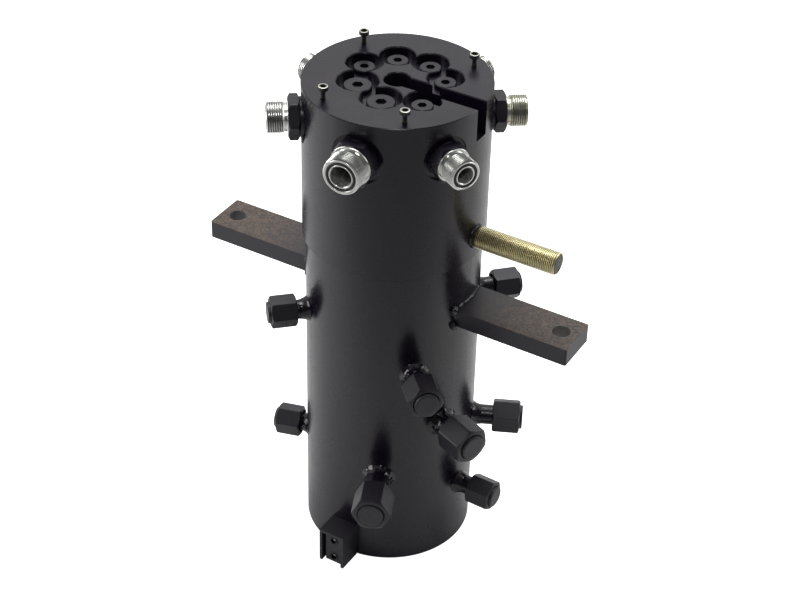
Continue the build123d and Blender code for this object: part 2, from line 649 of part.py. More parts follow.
def make_plug_ring(angle, passage):
    """Sealing ring in the neck under a plug's head."""
    pitch, _ = gallery_sizes(passage)
    _, thread, _, _ = well_sizes(passage)
    inner = thread - PLUG_NECK_CUT + SEAT_GAP
    height = PLUG_NECK - 2 * SEAT_GAP
    seal = ring(thread, inner, -WELL_DEPTH - PLUG_NECK + SEAT_GAP, height)
    return around(pitch, angle, HEAD_TOP) * seal


def adapter_length():
    return COLLAR_LENGTH + HEX_LENGTH + NECK_LENGTH + MALE_THREAD_LENGTH


def groove_radii(size):
    inner = size["bore"] + FACE_LIP
    return inner, inner + FACE_GROOVE_WIDTH


def adapter_outline(size):
    """Turned outline of an adapter, without its hexagon."""
    port = size["port"]
    thread = size["thread"]
    neck_start = COLLAR_LENGTH + HEX_LENGTH
    neck_end = neck_start + NECK_LENGTH
    end = adapter_length()
    inner, outer = groove_radii(size)
    floor = end - FACE_GROOVE_DEPTH
    tail = SCREW_END_GAP - PORT_THREAD_DEPTH
    return [
        (size["bore"], tail), (port - THREAD_CHAMFER, tail), (port, tail + THREAD_CHAMFER),
        (port, -PORT_NECK_LENGTH), (port - PORT_NECK_CUT, -PORT_NECK_LENGTH), (port - PORT_NECK_CUT, 0),
        (size["hexagon"] / 2, 0), (size["hexagon"] / 2, COLLAR_LENGTH),
        (size["hexagon"] / 2 - NECK_CUT, neck_start), (thread - NECK_CUT, neck_start),
        (thread - NECK_CUT, neck_end), (thread, neck_end), (thread, end - THREAD_CHAMFER),
        (thread - THREAD_CHAMFER, end), (outer, end), (outer, floor), (inner, floor), (inner, end),
        (size["bore"], end),
    ]


def make_adapter(angle, size):
    """Straight adapter: port thread, collar, hexagon and face-seal thread."""
    body = turned(*adapter_outline(size))
    bore = disc(size["bore"], 0, COLLAR_LENGTH + HEX_LENGTH)
    nut = Pos(0, 0, COLLAR_LENGTH) * chamfered_hexagon(size["hexagon"], HEX_LENGTH) - bore
    return radial(angle, ADAPTER_HEIGHT) * Pos(0, 0, PORT_FACE_RADIUS) * (body + nut)


def make_face_ring(angle, size):
    """Sealing ring in an adapter's end face."""
    inner, outer = groove_radii(size)
    floor = adapter_length() - FACE_GROOVE_DEPTH
    seal = ring(outer - SEAT_GAP, inner + SEAT_GAP, floor, FACE_GROOVE_DEPTH + FACE_RING_PROUD)
    seal = chamfer(seal.faces().sort_by(Axis.Z)[-1].edges(), FACE_RING_PROUD)
    return radial(angle, ADAPTER_HEIGHT) * Pos(0, 0, PORT_FACE_RADIUS) * seal


def make_port_ring(angle, size):
    """Sealing ring in the neck between an adapter's port thread and collar."""
    inner = size["port"] - PORT_NECK_CUT + SEAT_GAP
    height = PORT_NECK_LENGTH - 2 * SEAT_GAP
    seal = ring(size["port"], inner, PORT_FACE_RADIUS - PORT_NECK_LENGTH + SEAT_GAP, height)
    return radial(angle, ADAPTER_HEIGHT) * seal


def make_cover_screw(angle):
    """Socket screw left standing proud for a cover to hang on."""
    head_bottom = COVER_SCREW_STAND_OFF
    head_top = head_bottom + COVER_SCREW_HEAD_HEIGHT
    screw = disc(COVER_SCREW_RADIUS, -COVER_SCREW_DEPTH, COVER_SCREW_DEPTH + head_bottom)
    head = disc(COVER_SCREW_HEAD_RADIUS, head_bottom, COVER_SCREW_HEAD_HEIGHT)
    screw += chamfer(head.edges(), EDGE_BREAK)
    screw -= hexagon(COVER_SCREW_SOCKET_AF, head_top - COVER_SCREW_SOCKET_DEPTH, OVERRUN)
    return around(COVER_SCREW_PITCH, angle, HEAD_TOP) * screw


def make_stud():
    """Stud with a plain root in the head and a long thread outside it."""
    root = HEAD_RADIUS - STUD_DEPTH
    neck = HEAD_RADIUS + STUD_NECK_LENGTH
    end = HEAD_RADIUS + STUD_LENGTH
    return radial(0, STUD_HEIGHT) * turned(
        (0, root), (STUD_NECK_RADIUS, root), (STUD_NECK_RADIUS, neck), (STUD_RADIUS, neck + STUD_NECK_CUT),
        (STUD_RADIUS, end - STUD_CHAMFER), (STUD_RADIUS - STUD_CHAMFER, end), (0, end),
    )


def make_stud_weld():
    """Small bead that locks the stud in the head."""
    foot = STUD_RADIUS + STUD_WELD_LEG
    start = sqrt(HEAD_RADIUS**2 - foot**2)
    inner = STUD_NECK_RADIUS + SEAT_GAP
    top = HEAD_RADIUS + STUD_WELD_LEG
    bead = turned((inner, start), (foot, start), (inner + SEAT_GAP, top), (inner, top))
    head = disc(HEAD_RADIUS + WELD_GAP, HEAD_BOTTOM, HEAD_HEIGHT)
    return radial(0, STUD_HEIGHT) * bead - head


# ----------------------------------------------------------------- output
def port_nodes():
    """Tubes, caps and discs, one node for each size."""
    nodes = {}
    for name, size in (("small", SMALL_PORT), ("medium", MEDIUM_PORT), ("large", LARGE_PORT)):
        tubes, nuts, discs = [], [], []
        for angle, passage, _, stand_off, turn in ports_of(size):
            height = PASSAGE_HEIGHTS[passage]
            tubes.append(make_port_tube(angle, height, size, stand_off))
            nuts.append(make_cap_nut(angle, height, size, stand_off, turn))
            discs.append(make_blanking_disc(angle, height, size, stand_off))
        nodes["port_tubes_" + name] = group(tubes)
        nodes["cap_nuts_" + name] = group(nuts)
        nodes["blanking_discs_" + name] = group(discs)
    return nodes


def make_nodes():
    galleries = [(angle, passage) for _, angle, _, passage in ADAPTERS]
    fittings = [(angle, size) for _, angle, size, _ in ADAPTERS]
    nodes = {
        "sleeve": make_sleeve(),
        "upper_bush": make_bush(UPPER_BUSH_BOTTOM),
        "lower_bush": make_bush(LOWER_BUSH_BOTTOM),
        "seal_rings": make_seal_rings(),
        "seal_springs": make_seal_springs(),
        "dust_wiper": make_wiper(),
        "upper_thrust_ring": make_upper_thrust_ring(),
        "lower_thrust_ring": make_lower_thrust_ring(),
        "arm_right": make_arm(1),
        "arm_left": make_arm(-1),
        "arm_welds": group([make_arm_weld(1), make_arm_weld(-1)]),
        "port_welds": group(
            make_port_weld(angle, PASSAGE_HEIGHTS[passage], size) for angle, passage, size, _, _ in PORTS
        ),
        "anchor_channel": make_anchor_channel(),
        "anchor_block": make_anchor_block(),
        "anchor_screws": make_anchor_screws(),
        "rotor": make_rotor(),
        "retaining_plate": make_retaining_plate(),
        "retaining_bolts": make_retaining_bolts(),
        "gallery_plugs_small": group(make_gallery_plug(*line) for line in galleries if not is_wide(line[1])),
        "gallery_plugs_large": group(make_gallery_plug(*line) for line in galleries if is_wide(line[1])),
        "plug_rings": group(make_plug_ring(*line) for line in galleries),
        "face_rings": group(make_face_ring(*fitting) for fitting in fittings),
        "port_rings": group(make_port_ring(*fitting) for fitting in fittings),
        "cover_screws": group(make_cover_screw(angle) for angle in COVER_SCREW_ANGLES),
        "drive_stud": make_stud(),
        "stud_weld": make_stud_weld(),
    }
    for name, angle, size, _ in ADAPTERS:
        nodes[name] = make_adapter(angle, size)
    nodes.update(port_nodes())
    return nodes


os.makedirs("parts", exist_ok=True)
for node_name, shape in make_nodes().items():
    export_step(shape, os.path.join("parts", node_name + ".step"))
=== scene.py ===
import bpy
from math import cos, pi, radians, sin, sqrt
from mathutils import Matrix, Vector


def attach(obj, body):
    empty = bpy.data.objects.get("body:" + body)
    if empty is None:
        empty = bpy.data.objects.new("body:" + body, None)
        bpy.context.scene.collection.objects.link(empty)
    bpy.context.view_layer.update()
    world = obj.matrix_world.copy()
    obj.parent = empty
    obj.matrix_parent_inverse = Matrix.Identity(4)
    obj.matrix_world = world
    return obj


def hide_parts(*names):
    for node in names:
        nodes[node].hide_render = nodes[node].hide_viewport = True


MM = 0.001
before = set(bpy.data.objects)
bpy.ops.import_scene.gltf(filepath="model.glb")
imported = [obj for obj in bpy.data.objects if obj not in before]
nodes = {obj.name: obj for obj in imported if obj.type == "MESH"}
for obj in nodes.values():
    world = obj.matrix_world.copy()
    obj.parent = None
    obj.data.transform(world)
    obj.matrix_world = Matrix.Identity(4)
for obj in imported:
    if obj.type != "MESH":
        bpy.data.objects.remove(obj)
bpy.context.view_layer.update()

# The fixed sleeve and the turning rotor.
SLEEVE = "sleeve_body"
ROTOR = "rotor_body"

# Sizes are in millimetres and angles in degrees; the main ones are those of the solids.
SLEEVE_RADIUS = 85.7
HEAD_RADIUS = 88.9
HEAD_TOP = 519.9

# Hose adapters: lengths along the axis, ends by size, and where each one stands round the head.
ADAPTER_FACE = 85.0
ADAPTER_HEIGHT = 483.0
COLLAR, HEX, NECK, THREAD = 5.0, 11.0, 3.6, 16.4
ADAPTER_LENGTH = COLLAR + HEX + NECK + THREAD
ADAPTER_PITCH = 2.12
SEAL_WALL = 1.5
SEAL_GROOVE = 2.9
SEAL_DEPTH = 2.2
SMALL_END = dict(flats=34.9, thread=15.1, bore=7.9, port=13.4)
REDUCER_END = dict(flats=38.1, thread=15.1, bore=7.9, port=16.6)
LARGE_END = dict(flats=41.3, thread=18.25, bore=10.3, port=16.6)
ADAPTERS = {
    "adapter_1": (-144.5, REDUCER_END), "adapter_2": (-83.5, LARGE_END), "adapter_3": (-29.3, SMALL_END),
    "adapter_4": (35.8, SMALL_END), "adapter_5": (76.8, SMALL_END), "adapter_6": (120.5, SMALL_END),
    "adapter_7": (165.0, SMALL_END),
}
YELLOWED_ADAPTER = "adapter_4"

# Drive stud and cover screws on the head.
STUD_HEIGHT = 379.0
STUD_CREST, STUD_PITCH = 11.1, 1.81
STUD_INSIDE, STUD_PLAIN, STUD_REACH = 26.0, 3.0, 86.6
COVER_CIRCLE = 76.2
COVER_ANGLES = (-120.9, -54.6, 52.3, 145.3)

# Port caps by size, then each port: angle, height, cap, stand-off of the cap and its turn.
CAPS = {
    "small": dict(flats=28.6, length=26.0, disc=10.7, tube=9.5),
    "medium": dict(flats=31.75, length=28.0, disc=12.2, tube=10.2),
    "large": dict(flats=34.9, length=32.0, disc=12.8, tube=12.0),
}
PORTS = [
    (-137.0, 271.5, "small", 11.3, 0.0), (-164.0, 91.5, "small", 9.3, 15.0),
    (-45.0, 242.0, "medium", 18.3, -10.0), (-22.6, 171.5, "large", 15.3, -23.0),
    (25.0, 133.0, "medium", 20.3, 30.0), (-2.0, 73.0, "small", 15.3, 28.0),
    (-66.7, 112.0, "large", 25.8, 2.0), (45.0, 271.5, "small", 17.3, 10.0),
]
DISC_PROUD, LOW_DISC_PROUD = 2.8, 1.4

# Torque arms, and the anchor at the foot.
ARM_TOP = 304.8
ARM_THICKNESS = 19.05
ARM_WIDTH = 47.6
ARM_HOLE_REACH, ARM_HOLE_RADIUS = 184.15, 9.3
WEAR_START, WEAR_FULL, WEAR_WANDER = 88, 150, 50
ARM_BEAD = 2.3
ANCHOR_ANGLE = -91.0
ANCHOR_FACE, ANCHOR_OFFSET = 108.8, 1.5
ANCHOR_SCREW_HEIGHTS = (9.5, 31.0)

# Depth of every thread as a share of its pitch, and the fall of a 30 degree chamfer.
THREAD_DEPTH = 0.6
CHAMFER_FALL = 0.577


# ------------------------------------------------------- modelling helpers
def clear_selection():
    if bpy.context.object and bpy.context.object.mode != "OBJECT":
        bpy.ops.object.mode_set(mode="OBJECT")
    bpy.ops.object.select_all(action="DESELECT")


def take(piece):
    """Makes a piece the only one selected, and active."""
    clear_selection()
    piece.select_set(True)
    bpy.context.view_layer.objects.active = piece


def named(piece, name):
    piece.name = name
    return piece


def settle(piece, place):
    """Moves a piece to its place and leaves that place in its mesh."""
    take(piece)
    piece.matrix_world = place
    bpy.ops.object.transform_apply(location=True, rotation=True, scale=True)
    return piece


def smooth(piece, angle=30):
    """Smooth shading that keeps edges sharper than that angle."""
    take(piece)
    bpy.ops.object.shade_smooth_by_angle(angle=radians(angle))
    return piece


def modify(piece, kind, **settings):
    """Adds a modifier with its settings and applies it."""
    take(piece)
    bpy.ops.object.modifier_add(type=kind)
    modifier = piece.modifiers[-1]
    for name, value in settings.items():
        setattr(modifier, name, value)
    bpy.ops.object.modifier_apply(modifier=modifier.name)
    return piece


def cut(piece, tool, operation="DIFFERENCE"):
    """Cuts a piece with a tool, or keeps what they share, and removes the tool."""
    modify(piece, "BOOLEAN", operation=operation, object=tool, solver="EXACT")
    bpy.data.objects.remove(tool)
    return piece


def join(first, *others):
    take(first)
    for other in others:
        other.select_set(True)
    bpy.ops.object.join()
    return first


def copy_of(piece, name):
    """A copy with a mesh of its own."""
    twin = piece.copy()
    twin.data = piece.data.copy()
    twin.name = name
    bpy.context.scene.collection.objects.link(twin)
    return twin


def copies(pattern, name, places):
    """Copies a pattern to each place, joins the copies under one name and removes the pattern."""
    twins = [settle(copy_of(pattern, pattern.name), place) for place in places]
    bpy.data.objects.remove(pattern)
    return named(join(*twins), name)


def paint(piece, material):
    piece.data.materials.clear()
    piece.data.materials.append(material)
    return piece


def lifted(height):
    """Place straight up Z at that height."""
    return Matrix.Translation((0, 0, height * MM))


def outwards(angle, height, reach=0, turn=0, aside=0):
    """Place of a piece built along Z: it points away from the main axis at that angle and height."""
    swing = Matrix.Rotation(radians(angle), 4, "Z") @ Matrix.Rotation(pi / 2, 4, "Y")
    spin = Matrix.Rotation(radians(turn), 4, "Z")
    return lifted(height) @ swing @ spin @ Matrix.Translation((0, aside * MM, reach * MM))


def turned(name, profile, segments=64, ring=False):
    """A turned piece about Z from (radius, height) corners; ring closes the section on itself."""
    clear_selection()
    radius, height = profile[0]
    bpy.ops.mesh.primitive_circle_add(vertices=segments, radius=radius * MM)
    piece = named(bpy.context.object, name)
    bpy.ops.object.mode_set(mode="EDIT")
    bpy.ops.mesh.select_all(action="SELECT")
    bpy.ops.transform.translate(value=(0, 0, height * MM))
    stations = profile[1:] + ([profile[0]] if ring else [])
    for next_radius, next_height in stations:
        rise = (0, 0, (next_height - height) * MM)
        bpy.ops.mesh.extrude_region_move(TRANSFORM_OT_translate={"value": rise})
        share = next_radius / radius
        bpy.ops.transform.resize(value=(share, share, 1), center_override=(0, 0, next_height * MM))
        radius, height = next_radius, next_height
    bpy.ops.mesh.select_all(action="SELECT")
    bpy.ops.mesh.remove_doubles(threshold=0.000001)
    if not ring:
        bpy.ops.mesh.fill_holes(sides=0)
    bpy.ops.mesh.normals_make_consistent(inside=False)
    bpy.ops.object.mode_set(mode="OBJECT")
    return piece


def corner_radius(flats):
    """Distance from a hexagon's middle to its corners."""
    return flats / 2 / cos(pi / 6)


def prism(name, flats, length, edge):
    """A hexagonal bar on Z with its six long edges eased."""
    clear_selection()
    bpy.ops.mesh.primitive_cylinder_add(vertices=6, radius=corner_radius(flats) * MM, depth=length * MM)
    piece = named(bpy.context.object, name)
    bpy.ops.object.mode_set(mode="EDIT")
    bpy.ops.mesh.select_all(action="SELECT")
    bpy.ops.transform.translate(value=(0, 0, length / 2 * MM))
    bpy.ops.mesh.select_all(action="DESELECT")
    bpy.ops.object.mode_set(mode="OBJECT")
    for side in piece.data.edges:
        low, high = (piece.data.vertices[i].co.z for i in side.vertices)
        side.select = abs(high - low) > length / 2 * MM
    bpy.ops.object.mode_set(mode="EDIT")
    bpy.ops.mesh.bevel(offset=edge * MM, segments=3, affect="EDGES")
    bpy.ops.object.mode_set(mode="OBJECT")
    return piece


def hexagon_nut(name, flats, length, edge, lip):
    """A hexagon turned down at 30 degrees at both ends, with eased rims."""
    face = flats / 2 - 0.3
    corner = corner_radius(flats) + 0.2
    drop = (corner - face) * CHAMFER_FALL
    ease = lip * 0.3
    outline = [
        (face - lip, 0), (face, ease), (corner, drop + ease), (corner, length - drop - ease),
        (face, length - ease), (face - lip, length),
    ]
    return cut(prism(name, flats, length, edge), turned("envelope", outline, 96), "INTERSECT")


def thread(name, crest, pitch, start, end, lead_in, run_out=True, steps=56):
    """A helical ridge on Z with a chamfer at its free end; run_out tapers its first turn too."""
    base = crest - THREAD_DEPTH * pitch
    foot = base - 0.15
    clear_selection()
    bpy.ops.mesh.primitive_circle_add(vertices=4, radius=pitch * MM / 2)
    ridge = named(bpy.context.object, name)
    corners = [(foot, -0.46), (foot, 0.46), (crest, 0.07), (crest, -0.07)]
    for vertex, (radius, share) in zip(ridge.data.vertices, corners):
        vertex.co = Vector((radius, 0, start + share * pitch - pitch)) * MM
    turns = int((end - start) / pitch) + 2
    modify(ridge, "SCREW", axis="Z", angle=2 * pi, screw_offset=pitch * MM, iterations=turns,
           steps=steps, render_steps=steps, use_merge_vertices=True)
    bpy.ops.object.mode_set(mode="EDIT")
    bpy.ops.mesh.select_all(action="SELECT")
    bpy.ops.mesh.fill_holes(sides=4)
    bpy.ops.mesh.normals_make_consistent(inside=False)
    bpy.ops.object.mode_set(mode="OBJECT")
    limit = crest + 0.5
    first = base + 0.05 if run_out else limit
    tail = lead_in if run_out else 0
    envelope = turned("envelope", [
        (base - 0.6, start), (first, start), (limit, start + tail + 0.6), (limit, end - lead_in + 0.1),
        (base - 0.1, end - 0.2), (base - 0.6, end - 0.2),
    ], 96, ring=True)
    return cut(ridge, envelope, "INTERSECT")


def finish_piece(piece, body, slot, *replaced):
    """Says which body a piece rides on, and hides the solids that it stands for; slot is not used."""
    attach(piece, body)
    if replaced:
        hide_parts(*replaced)


# ----------------------------------------------------------- node helpers
def new_material(name):
    material = bpy.data.materials.new(name)
    material.use_nodes = True
    tree = material.node_tree
    shader = tree.nodes["Principled BSDF"]
    place = tree.nodes.new("ShaderNodeTexCoord").outputs["Object"]
    return material, tree, shader, place


def feed(tree, socket, value):
    """Links a node's output to a socket, or sets a constant on it."""
    if isinstance(value, bpy.types.NodeSocket):
        tree.links.new(value, socket)
    elif isinstance(value, tuple):
        socket.default_value = (*value, 1)
    else:
        socket.default_value = value


def noise(tree, place, size, detail=4, roughness=0.55):
    """Cloudy noise whose features are about that many millimetres across."""
    node = tree.nodes.new("ShaderNodeTexNoise")
    feed(tree, node.inputs["Scale"], 1 / (size * MM))
    feed(tree, node.inputs["Detail"], detail)
    feed(tree, node.inputs["Roughness"], roughness)
    feed(tree, node.inputs["Vector"], place)
    return node.outputs["Fac"]


def ramp(tree, value, *stops):
    """Colours from (position, colour) stops."""
    node = tree.nodes.new("ShaderNodeValToRGB")
    while len(node.color_ramp.elements) < len(stops):
        node.color_ramp.elements.new(0.5)
    for element, (position, colour) in zip(node.color_ramp.elements, stops):
        element.position = position
        element.color = (*colour, 1)
    feed(tree, node.inputs["Fac"], value)
    return node.outputs["Color"]


def grey_ramp(tree, value, *stops):
    return ramp(tree, value, *[(position, (level, level, level)) for position, level in stops])


def blend(tree, share, first, second):
    node = tree.nodes.new("ShaderNodeMix")
    node.data_type = "RGBA"
    feed(tree, node.inputs["Factor"], share)
    feed(tree, node.inputs["A"], first)
    feed(tree, node.inputs["B"], second)
    return node.outputs["Result"]


def combine(tree, operation, *values):
    """One step of arithmetic on sockets or numbers."""
    node = tree.nodes.new("ShaderNodeMath")
    node.operation = operation
    for socket, value in zip(node.inputs, values):
        feed(tree, socket, value)
    return node.outputs[0]


def along(tree, place, direction):
    """How far a place lies along a direction."""
    node = tree.nodes.new("ShaderNodeVectorMath")
    node.operation = "DOT_PRODUCT"
    feed(tree, node.inputs[0], place)
    node.inputs[1].default_value = direction
    return node.outputs["Value"]


def stretch(tree, value, start, end, low=0.0, high=1.0):
    """Maps start..end to low..high and holds it beyond."""
    node = tree.nodes.new("ShaderNodeMapRange")
    for label, level in (("From Min", start), ("From Max", end), ("To Min", low), ("To Max", high)):
        feed(tree, node.inputs[label], level)
    feed(tree, node.inputs["Value"], value)
    return node.outputs["Result"]


def bump(tree, shader, *layers):
    """Adds relief from (height, strength in millimetres) layers, one over the other."""
    last = None
    for height, depth in layers:
        node = tree.nodes.new("ShaderNodeBump")
        feed(tree, node.inputs["Strength"], 1)
        feed(tree, node.inputs["Distance"], depth * MM)
        feed(tree, node.inputs["Height"], height)
        if last:
            feed(tree, node.inputs["Normal"], last)
        last = node.outputs["Normal"]
    feed(tree, shader.inputs["Normal"], last)


def surface(tree, shader, colour, roughness, metallic=0.0):
    """Feeds the shader its colour, roughness and metalness."""
    feed(tree, shader.inputs["Base Color"], colour)
    feed(tree, shader.inputs["Roughness"], roughness)
    feed(tree, shader.inputs["Metallic"], metallic)


# --------------------------------------------------------------- materials
BLACK = (0.0052, 0.0034, 0.0090)
PALER_BLACK = (0.0080, 0.0058, 0.0125)
DUST = (0.030, 0.028, 0.030)


def enamel(name, lift, dust_stops, patch, gloss):
    """Black enamel with dust and handling marks, its relief still to come; lift greys it."""
    material, tree, shader, place = new_material(name)
    dark, light = (tuple(level + lift for level in shade) for shade in (BLACK, PALER_BLACK))
    colour = ramp(tree, noise(tree, place, 60, 5), (0.35, dark), (0.65, light))
    dust = grey_ramp(tree, noise(tree, place, 1.6, 2), *dust_stops)
    smear = grey_ramp(tree, noise(tree, place, patch, 6, 0.6), (0.30, gloss[0]), (0.72, gloss[1]))
    surface(tree, shader, blend(tree, dust, colour, DUST), smear)
    return material, tree, shader, place


def black_paint(name, gloss=(0.22, 0.32), peel=0.03, lift=0.0):
    """Satin black enamel with a faint orange peel."""
    material, tree, shader, place = enamel(name, lift, [(0.70, 0), (0.80, 0.30)], 22, gloss)
    bump(tree, shader, (noise(tree, place, 3.2, 3), peel), (noise(tree, place, 0.5, 2), peel * 0.25))
    return material


def turned_paint(name):
    """The same paint over lathe-turned steel: faint rings round the main axis."""
    material, tree, shader, place = enamel(name, 0.0, [(0.72, 0), (0.80, 0.25)], 30, (0.22, 0.31))
    squeeze = tree.nodes.new("ShaderNodeMapping")
    squeeze.inputs["Scale"].default_value = (0.02, 0.02, 1)
    feed(tree, squeeze.inputs["Vector"], place)
    rings = noise(tree, squeeze.outputs["Vector"], 0.9, 3)
    bump(tree, shader, (rings, 0.006), (noise(tree, place, 3.2, 3), 0.03))
    return material


def plated_steel(name, light, dark, gloss, stain=None):
    """Zinc-plated steel with faint clouding and handling marks."""
    material, tree, shader, place = new_material(name)
    colour = ramp(tree, noise(tree, place, 7, 4, 0.5), (0.30, dark), (0.70, light))
    if stain:
        patch = grey_ramp(tree, noise(tree, place, 18), (0.42, 0), (0.60, 0.8))
        colour = blend(tree, patch, colour, stain)
    smear = grey_ramp(tree, noise(tree, place, 9, 2, 0.4), (0.35, gloss[0]), (0.70, gloss[1]))
    surface(tree, shader, colour, smear, 1.0)
    bump(tree, shader, (noise(tree, place, 3, 1, 0.4), 0.0006))
    return material


def worn_top(tree, place, height, reach):
    """Share of bare steel on a bar: none on its sides or near the barrel, all of it further out."""
    top = combine(tree, "GREATER_THAN", height, (ARM_TOP - 0.2) * MM)
    wander = combine(tree, "MULTIPLY", noise(tree, place, 14, 5), WEAR_WANDER * MM)
    edge = combine(tree, "ADD", reach, combine(tree, "SUBTRACT", wander, WEAR_WANDER / 2 * MM))
    return combine(tree, "MULTIPLY", top, stretch(tree, edge, WEAR_START * MM, WEAR_FULL * MM))


def mill_scale(tree, place):
    """Brown scale with rust and soot in its grain."""
    scale = ramp(tree, noise(tree, place, 9, 6, 0.65), (0.30, (0.036, 0.027, 0.023)),
                 (0.52, (0.074, 0.055, 0.043)), (0.72, (0.115, 0.089, 0.069)))
    rust = grey_ramp(tree, noise(tree, place, 3.2, 5, 0.75), (0.50, 0), (0.62, 0.75))
    scale = blend(tree, rust, scale, (0.17, 0.095, 0.060))
    soot = grey_ramp(tree, noise(tree, place, 2.6, 5, 0.75), (0.40, 0.85), (0.52, 0))
    return blend(tree, soot, scale, (0.016, 0.014, 0.013))


def hole_wall(tree, reach, across):
    """Marks the walls of the arms' holes."""
    over = combine(tree, "SUBTRACT", reach, ARM_HOLE_REACH * MM)
    squares = combine(tree, "ADD", combine(tree, "POWER", over, 2), combine(tree, "POWER", across, 2))
    return combine(tree, "LESS_THAN", squares, (ARM_HOLE_RADIUS * MM) ** 2)


def bar_steel(name):
    """Hot-rolled bar: black paint, worn through to brown mill scale on its top face."""
    material, tree, shader, place = new_material(name)
    axes = tree.nodes.new("ShaderNodeSeparateXYZ")
    feed(tree, axes.inputs["Vector"], place)
    reach = combine(tree, "ABSOLUTE", axes.outputs["X"])
    bare = worn_top(tree, place, axes.outputs["Z"], reach)
    colour = blend(tree, bare, (0.0150, 0.0120, 0.0185), mill_scale(tree, place))
    colour = blend(tree, hole_wall(tree, reach, axes.outputs["Y"]), colour, (0.17, 0.165, 0.16))
    surface(tree, shader, colour, combine(tree, "ADD", combine(tree, "MULTIPLY", bare, 0.12), 0.40))
    bump(tree, shader, (noise(tree, place, 1.4, 5, 0.75), 0.10), (noise(tree, place, 7, 3), 0.05))
    return material


def plain_finish(name, dark, light, gloss, size=4, metallic=0.0):
    """A slightly clouded finish between two colours."""
    material, tree, shader, place = new_material(name)
    colour = ramp(tree, noise(tree, place, size), (0.35, dark), (0.65, light))
    smear = grey_ramp(tree, noise(tree, place, size * 0.6), (0.35, gloss[0]), (0.65, gloss[1]))
    surface(tree, shader, colour, smear, metallic)
    bump(tree, shader, (noise(tree, place, size * 0.2, 3), 0.02))
    return material


PAINT = black_paint("satin_black_paint")
TURNED_PAINT = turned_paint("turned_black_paint")
WELD_PAINT = black_paint("gloss_black_paint", (0.10, 0.17), 0.05)
BEAD_PAINT = black_paint("bead_black_paint", (0.20, 0.30), 0.04)
CAP_PAINT = black_paint("cap_black_paint", (0.36, 0.50), 0.02, 0.008)
HEX_PAINT = black_paint("fitting_black_paint", (0.24, 0.36), 0.03)
BAR = bar_steel("bar_steel")
ZINC = plated_steel("bright_zinc", (0.80, 0.81, 0.78), (0.66, 0.67, 0.64), (0.16, 0.26))
WARM_ZINC = plated_steel("warm_zinc", (0.76, 0.75, 0.64), (0.62, 0.61, 0.50), (0.16, 0.26))
# Darker zinc painted into the adapters' thread roots as painted shade.
ROOT_SHADE_ZINC = plated_steel("root_shade_zinc", (0.20, 0.20, 0.19), (0.12, 0.12, 0.11), (0.35, 0.5))
STUD_ZINC = plated_steel("yellow_zinc", (0.92, 0.84, 0.58), (0.80, 0.73, 0.48), (0.33, 0.40),
                         stain=(0.70, 0.68, 0.45))
# Darker yellow zinc painted into the stud's thread roots as painted shade.
ROOT_SHADE_YELLOW = plated_steel("root_shade_yellow_zinc", (0.17, 0.145, 0.075), (0.10, 0.085, 0.045), (0.35, 0.5))
SCREW_STEEL = plated_steel("screw_steel", (0.62, 0.61, 0.56), (0.40, 0.39, 0.35), (0.22, 0.36))
SCREW_BLACK = plain_finish("screw_black", (0.004, 0.004, 0.005), (0.010, 0.009, 0.011), (0.18, 0.30))
OXIDE = plain_finish("black_oxide", (0.03, 0.03, 0.032), (0.06, 0.06, 0.062), (0.35, 0.5), metallic=0.6)
SAWN = plain_finish("sawn_steel", (0.10, 0.10, 0.095), (0.19, 0.185, 0.17), (0.5, 0.65), 3, metallic=0.7)
BORED = plain_finish("bored_steel", (0.22, 0.22, 0.21), (0.50, 0.50, 0.48), (0.25, 0.40), 3, metallic=0.35)
RUBBER = plain_finish("seal_rubber", (0.006, 0.006, 0.006), (0.012, 0.012, 0.012), (0.35, 0.5))
SLIPPER = plain_finish("slipper_plastic", (0.32, 0.26, 0.18), (0.42, 0.36, 0.26), (0.45, 0.6))
BRONZE = plain_finish("bearing_bronze", (0.42, 0.27, 0.11), (0.58, 0.40, 0.18), (0.28, 0.42), metallic=1.0)


# ---------------------------------------------------------------- adapters
def painted_hexagon(size):
    """The adapter's painted half along Z from its port face: a round collar under a hexagon."""
    flat = size["flats"] / 2
    inside = size["port"] - 2.2
    collar = turned("collar", [
        (inside, -3.2), (inside + 2, -3.2), (inside + 2, 0.05), (flat - 0.6, 0.05), (flat - 0.1, 0.5),
        (flat - 0.1, COLLAR - 0.6), (flat - 0.6, COLLAR + 0.1), (inside, COLLAR + 0.1),
    ], 72, ring=True)
    hexagon = hexagon_nut("hexagon", size["flats"], HEX, 0.5, 0.35)
    hexagon = cut(hexagon, turned("bore", [(inside, -5), (inside, HEX + 5)]))
    return smooth(paint(join(collar, settle(hexagon, lifted(COLLAR))), HEX_PAINT))


